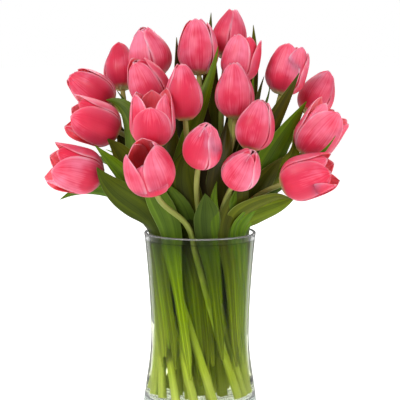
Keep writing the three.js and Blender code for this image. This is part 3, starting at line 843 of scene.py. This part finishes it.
# More leaves and leaf tips that show between the blooms. The frame has no solids for them.
# Those of tone 0.8 and more are dark sheets of painted shade that fill the shadowed gaps deep in the bouquet.
SMALL_LEAVES = (
    ("inner", 150, 150, (-68, 32, 310), (-88, 30, 336), 24, 60, 0.3),
    ("outer", 188, 60, (-72, 4, 262), (-88, 10, 302), 34, 75, 0.85),
    ("outer", 340, 120, (110, -40, 245), (139, -35, 294), 11, -40, 0.4),
    ("outer", 345, 80, (86, -12, 244), (112, -2, 288), 30, -50, 0.65),
    ("inner", 25, 150, (62, 30, 310), (54, 34, 374), 15, -60, 0.42),
    ("inner", 8, 150, (56, 24, 320), (68, 28, 352), 16, -60, 0.8),
    ("outer", 195, 60, (-74, -10, 250), (-101, -2, 274), 32, 60, 0.65),
    ("inner", 20, 150, (50, 30, 320), (60, 35, 356), 18, -60, 1.0),
    ("inner", 30, 150, (66, 40, 310), (77, 35, 342), 16, -60, 0.45),
    ("outer", 302, 50, (46, -62, 225), (40, -40, 262), 26, -20, 0.75),
    ("outer", 306, 90, (34, -60, 222), (36, -52, 250), 11, -20, 0.45),
    ("outer", 288, 120, (12, -64, 225), (17, -62, 250), 11, 0, 0.45),
    ("outer", 331, 50, (52, -38, 202), (66, -34, 219), 14, -30, 0.42),
    ("outer", 322, 50, (46, -46, 204), (62, -42, 226), 13, -20, 0.38),
    ("outer", 313, 50, (40, -50, 206), (52, -48, 224), 12, 10, 0.42),
    ("outer", 311, 60, (52, -64, 226), (92, -46, 236), 27, -15, 0.68),
    ("outer", 338, 80, (62, -26, 240), (86, -12, 270), 30, -45, 0.75),
    ("outer", 15, 90, (74, 40, 230), (108, 66, 262), 32, -40, 0.6),
    ("outer", 110, 80, (-20, 84, 230), (-40, 112, 240), 30, 0, 0.3),
    ("outer", 70, 70, (30, 84, 240), (44, 108, 262), 30, 0, 0.5),
    ("outer", 200, 60, (-66, -14, 252), (-96, -10, 292), 38, 60, 0.75),
    ("outer", 192, 50, (-70, -16, 235), (-86, -10, 262), 30, 60, 0.9),
    ("inner", 140, 150, (-56, 24, 330), (-66, 20, 370), 14, 60, 0.3),
    ("inner", 215, 60, (-34, -6, 262), (-26, 8, 306), 30, 45, 0.85),
    ("inner", 230, 40, (-44, -20, 240), (-52, -6, 286), 28, 45, 0.6),
    ("inner", 275, 50, (4, -10, 270), (8, 4, 322), 32, 0, 1.0),
    ("inner", 300, 60, (22, -24, 262), (28, -10, 306), 28, -20, 0.95),
    ("inner", 318, 40, (34, -22, 240), (44, -8, 280), 28, -30, 1.0),
    ("inner", 335, 60, (44, -10, 262), (66, 4, 300), 30, -50, 0.7),
    ("inner", 190, 80, (-46, 8, 280), (-60, 22, 318), 30, 70, 0.8),
    ("inner", 15, 90, (50, 16, 290), (70, 24, 326), 28, -60, 0.9),
    ("inner", 246, 30, (-26, -46, 226), (-34, -44, 246), 28, 10, 0.2),
    ("inner", 95, 80, (0, 34, 290), (2, 40, 350), 30, 60, 0.8),
    ("inner", 60, 90, (30, 30, 290), (34, 34, 340), 28, -80, 1.0),
)
LEAF_SPIRAL = 30
LEAF_EASE = 0.35
LEAF_FOLD = 0.45
LEAF_THICK = 0.7
LEAF_ACROSS = 10
LEAF_ALONG = 40
# A leaf is broadest at this share of its free part, narrow at its foot and down in the vase, and
# shingled over the next one there by an angle.
LEAF_BROADEST = 0.4
LEAF_FOOT = 0.3
LEAF_SHEATH = 0.36
LEAF_TAPER = 1.8
LEAF_TIP = 0.02
LEAF_WAVE = 1.7
WAVE_SPREAD = 0.8
GLOW_SPREAD = 0.4
SHINGLE = 10
CLEARING_ROUNDS = 6
LAST_CLEARING = 0.6


def leaf_line(leaf):
    """A leaf's midrib in millimetres, and the share of its length at the vase's mouth."""
    layer, at, low_end, bend, tip = leaf[:5]
    low_turn = at + LEAF_SPIRAL * (VASE_HEIGHT - low_end) / VASE_HEIGHT
    low = around(LAYERS[layer][0], low_turn, low_end)
    mouth = around(LAYERS[layer][1], at, VASE_HEIGHT)
    end = np.array(tip, float)
    ease = np.linalg.norm(end - mouth) * LEAF_EASE
    ahead = mouth + (mouth - low) / np.linalg.norm(mouth - low) * ease
    line = straight_then_bent(low, mouth, ahead, np.array(bend, float), end)
    length = np.linalg.norm(np.diff(line, axis=0), axis=1).sum()
    return line, np.linalg.norm(mouth - low) / length


# A living tulip leaf: fleshy and satin, with fine lines along its length, a pale thin edge and a
# grey-green bloom of wax, which is thinner the higher its tone, whose dark end is painted shade.
blade, tree, out = material("tulip_leaf")
uv, _, outward = blade_places(tree)
tone = add(tree, "Attribute", attribute_name="tone")
# Veins one to two millimetres apart, and wax in patches about 40 mm across.
veins = lines_along(tree, uv, 26, 1.2, detail=4.0, roughness=0.65)
coords = add(tree, "TexCoord")
wax = add(tree, "TexNoise", {"Vector": coords.outputs["Object"], "Scale": 24.0, "Detail": 3.0})
# The tone ramps run from dull green to a nearly black brown, which is painted shade.
leaf_green = add(tree, "ValToRGB", {"Fac": tone.outputs["Fac"]}, stops=(
    (0.0, "#52681A"), (0.4, "#628400"), (0.7, "#606200"), (1.0, "#302604")))
leaf_dark = add(tree, "ValToRGB", {"Fac": tone.outputs["Fac"]}, stops=(
    (0.0, "#203204"), (0.4, "#2A4600"), (0.7, "#282A00"), (1.0, "#100800")))
# Broader light and dark bands, five to eight millimetres apart.
bands = lines_along(tree, uv, 5, 0.8, detail=1.0)
lines = add(tree, "Math", {
    0: bands.outputs["Fac"], 1: 1.2, 2: veins.outputs["Fac"]}, operation="MULTIPLY_ADD")
vein_shade = add(tree, "MapRange", {
    "Value": lines.outputs["Value"], "From Min": 0.75, "From Max": 1.35})
leaf_veined = add(tree, "Mix", {
    0: vein_shade.outputs["Result"], 6: leaf_dark.outputs["Color"], 7: leaf_green.outputs["Color"]},
    data_type="RGBA")
wax_cover = add(tree, "MapRange", {
    "Value": wax.outputs["Fac"], "From Min": 0.35, "From Max": 0.75, "To Max": 0.3})
waxless = add(tree, "MapRange", {"Value": tone.outputs["Fac"], "To Min": 1.0, "To Max": 0.15})
wax_share = add(tree, "Math", {
    0: wax_cover.outputs["Result"], 1: waxless.outputs["Result"]}, operation="MULTIPLY")
leaf_waxed = add(tree, "Mix", {
    0: wax_share.outputs["Value"], 6: leaf_veined.outputs[2], 7: "#6E863C"}, data_type="RGBA")
leaf_margin = add(tree, "MapRange", {
    "Value": outward.outputs["Value"], "From Min": 0.92, "To Max": 0.5}, interpolation_type="SMOOTHSTEP")
leaf_edged = add(tree, "Mix", {
    0: leaf_margin.outputs["Result"], 6: leaf_waxed.outputs[2], 7: "#93A25C"}, data_type="RGBA")
# Low down, in the vase, the leaves are yellower and paler.
height = add(tree, "SeparateXYZ", {"Vector": coords.outputs["Object"]})
leaf_low = add(tree, "MapRange", {
    "Value": height.outputs["Z"], "From Min": 130 * MM, "From Max": 240 * MM, "To Min": 0.9, "To Max": 0.0},
    interpolation_type="SMOOTHSTEP")
leaf_depth = add(tree, "MapRange", {
    "Value": height.outputs["Z"], "From Min": 30 * MM, "From Max": 190 * MM})
# Their colour here is also painted light and shade: palest near the vase's floor and darkest towards the
# mouth, in the shade of the bouquet.
leaf_yellow_and_painted_shading = add(tree, "ValToRGB", {"Fac": leaf_depth.outputs["Result"]}, stops=(
    (0.0, "#AEB840"), (0.5, "#90A600"), (1.0, "#3E5200")))
leaf_lined = add(tree, "Mix", {
    0: vein_shade.outputs["Result"], 6: leaf_dark.outputs["Color"], 7: leaf_yellow_and_painted_shading.outputs["Color"]},
    data_type="RGBA")
leaf_based = add(tree, "Mix", {
    0: leaf_low.outputs["Result"], 6: leaf_edged.outputs[2], 7: leaf_lined.outputs[2]}, data_type="RGBA")
brightness = add(tree, "Attribute", attribute_name="brightness")
leaf_colour = add(tree, "HueSaturation", {
    "Color": leaf_based.outputs[2], "Value": brightness.outputs["Fac"]})
leaf_gloss = gloss_above_water(tree, height, 0.12)
leaf_bump = add(tree, "Bump", {"Height": veins.outputs["Fac"], "Strength": 0.5, "Distance": 0.3 * MM})
leaf_shader = add(tree, "BsdfPrincipled", {
    "Base Color": leaf_colour.outputs["Color"], "Roughness": 0.42, "Normal": leaf_bump.outputs["Normal"],
    "Specular IOR Level": leaf_gloss.outputs["Result"],
    "Subsurface Weight": 0.1, "Subsurface Scale": 1.5 * MM, "Subsurface Radius": (0.5, 1.0, 0.2)})
tree.links.new(leaf_shader.outputs["BSDF"], out.inputs["Surface"])

# One flat leaf blade, whose points are later set out along each midrib.
flat_leaf = started(
    bpy.ops.mesh.primitive_grid_add, x_subdivisions=LEAF_ACROSS, y_subdivisions=LEAF_ALONG, size=2)
flat_points = np.array([vertex.co for vertex in flat_leaf.data.vertices])
columns = LEAF_ACROSS + 1
rows = LEAF_ALONG + 1
order = np.lexsort((flat_points[:, 0], flat_points[:, 1]))
leaf_u = flat_points[order, 0].reshape(rows, columns)
leaf_v = (flat_points[order, 1].reshape(rows, columns) + 1) / 2
flat_leaf.data.attributes.new("tone", "FLOAT", "POINT")
flat_leaf.data.attributes.new("brightness", "FLOAT", "POINT")

# How near a leaf's middle may come to a stem's middle, a bloom and the glass, in millimetres, how
# far above the rim the glass still counts, and where a bloom begins and ends, in its lengths.
STEM_ROOM = STEM_FOOT_RADIUS + 0.8
BLOOM_ROOM = 1.4
WALL_ROOM = 0.8
ABOVE_RIM = 3
BLOOM_BELOW = -0.02
BLOOM_ABOVE = 1.03
OWN_SHARE = 0.4
STEM_MARKS = 100
WALL_MARKS = 40
stem_marks = [along(line, np.linspace(0, 1, STEM_MARKS))[0] for line in stem_lines]
wall_marks = np.linspace(0, VASE_HEIGHT, WALL_MARKS)
wall_limits = [vase_radius(h) - WALL - WALL_ROOM for h in wall_marks]


def push_clear(points, face):
    """How far each point of a leaf has to move to stay clear of stems, blooms and the glass."""
    push = np.zeros_like(points)
    for marks in stem_marks:
        apart = points[:, :, None, :] - marks[None, None]
        distance = np.linalg.norm(apart, axis=3)
        nearest = distance.argmin(axis=2)
        close = np.take_along_axis(distance, nearest[..., None], axis=2)[..., 0] < STEM_ROOM
        if not close.any():
            continue
        offset = points - marks[nearest]
        height = (offset * face).sum(axis=2)
        side = 1.0 if height[close].mean() >= 0 else -1.0
        level = np.sqrt(np.maximum((offset ** 2).sum(axis=2) - height ** 2, 0))
        needed = np.sqrt(np.maximum(STEM_ROOM ** 2 - level ** 2, 0)) * side - height
        needed = np.where(close & (needed * side > 0), needed, 0)
        push += face * needed[..., None]
    for tulip in TULIPS:
        base, lean, (long, radius), wide = tulip[2:6]
        axis = leaning(*lean)
        offset = points - np.array(base, float)
        level = offset @ axis / long
        sideways = offset - (offset @ axis)[..., None] * axis
        distance = np.linalg.norm(sideways, axis=2)
        below = radius * np.sqrt(np.clip(1 - (1 - level / BELLY) ** 2, 0, 1))
        above = radius * (1 - (1 - wide) * np.clip((level - BELLY) / (1 - BELLY), 0, 1) ** 2)
        room = np.where(level < BELLY, below, above) + BLOOM_ROOM
        inside = (level > BLOOM_BELOW) & (level < BLOOM_ABOVE) & (distance < room)
        push += np.where(inside, (room - distance) / np.maximum(distance, 0.1), 0)[..., None] * sideways
    radial = np.linalg.norm(points[..., :2], axis=2)
    limit = np.interp(points[..., 2], wall_marks, wall_limits)
    beyond = np.where(points[..., 2] < VASE_HEIGHT + ABOVE_RIM, np.maximum(radial - limit, 0), 0)
    push[..., :2] -= points[..., :2] / np.maximum(radial, 0.1)[..., None] * beyond[..., None]
    return push


def blurred(field):
    """A field over a leaf's rows and columns, evened out with its neighbours."""
    padded = np.pad(field, ((1, 1), (1, 1), (0, 0)), mode="edge")
    beside = padded[:-2, 1:-1] + padded[2:, 1:-1] + padded[1:-1, :-2] + padded[1:-1, 2:]
    return field * OWN_SHARE + beside * ((1 - OWN_SHARE) / 4)


rng = np.random.default_rng(11)
for number, leaf in enumerate(LEAVES + SMALL_LEAVES, 1):
    width, twist, tone_and_painted_shade = leaf[5:]
    draw = rng.uniform(-1, 1, 6)
    line, mouth_share = leaf_line(leaf)
    places, ways = along(line, leaf_v[:, 0])
    sideways = around(1, leaf[1] + 90, 0)
    across = sideways - ways * (ways @ sideways)[:, None]
    across = across / np.linalg.norm(across, axis=1, keepdims=True)
    face = np.cross(across, ways)
    share = leaf_v[:, 0]
    broadest = mouth_share + LEAF_BROADEST * (1 - mouth_share)
    turned_by = smooth(share, 0.9 * mouth_share, broadest)
    turn = np.radians(twist * turned_by + SHINGLE * (1 - turned_by))[:, None]
    across, face = across * np.cos(turn) + face * -np.sin(turn), face * np.cos(turn) + across * np.sin(turn)
    foot = LEAF_FOOT + (1 - LEAF_FOOT) * smooth(share, 0, 0.15)
    sheath = LEAF_SHEATH + (1 - LEAF_SHEATH) * smooth(share, mouth_share / 2, broadest)
    taper = 1 - np.clip((share - broadest) / (1 - broadest), 0, 1) ** LEAF_TAPER
    half = width / 2 * np.maximum(LEAF_TIP, foot * sheath * taper)
    fold = half * LEAF_FOLD * (1 - 0.6 * share)
    swing = np.sin(np.pi * (5 + draw[1]) * share + 3 * draw[2])
    wave = (LEAF_WAVE + WAVE_SPREAD * draw[0]) * swing * smooth(share, 0.3, 0.6)
    rise = (-fold[:, None] * np.abs(leaf_u) ** 1.5
            + wave[:, None] * leaf_u ** 2 * (0.7 + 0.6 * draw[3] * leaf_u) * (half / half.max())[:, None])
    points = (places[:, None] + across[:, None] * (leaf_u * half[:, None])[..., None]
              + face[:, None] * rise[..., None])
    faces = np.broadcast_to(face[:, None], points.shape)
    moved = np.zeros_like(points)
    for _ in range(CLEARING_ROUNDS):
        moved = blurred(moved + push_clear(points + moved, faces))
    points = points + moved
    points = points + push_clear(points, faces) * LAST_CLEARING
    piece = copied(flat_leaf)
    if number <= len(LEAVES):
        piece.name = f"tulip_leaf_{number:02d}"
    else:
        piece.name = f"small_leaf_{number - len(LEAVES):02d}"
    coordinates = np.empty((rows * columns, 3))
    coordinates[order] = points.reshape(-1, 3) * MM
    piece.data.vertices.foreach_set("co", coordinates.ravel())
    # The leaf's tone, whose dark end is painted shade.
    mark(piece, "tone", tone_and_painted_shade)
    mark(piece, "brightness", 1 + GLOW_SPREAD * draw[4])
    shaded(piece, blade)
    thicken(piece, LEAF_THICK)
    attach(piece, "root")
    if number <= len(LEAVES):
        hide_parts(f"leaf_{number:02d}")
bpy.data.objects.remove(flat_leaf)
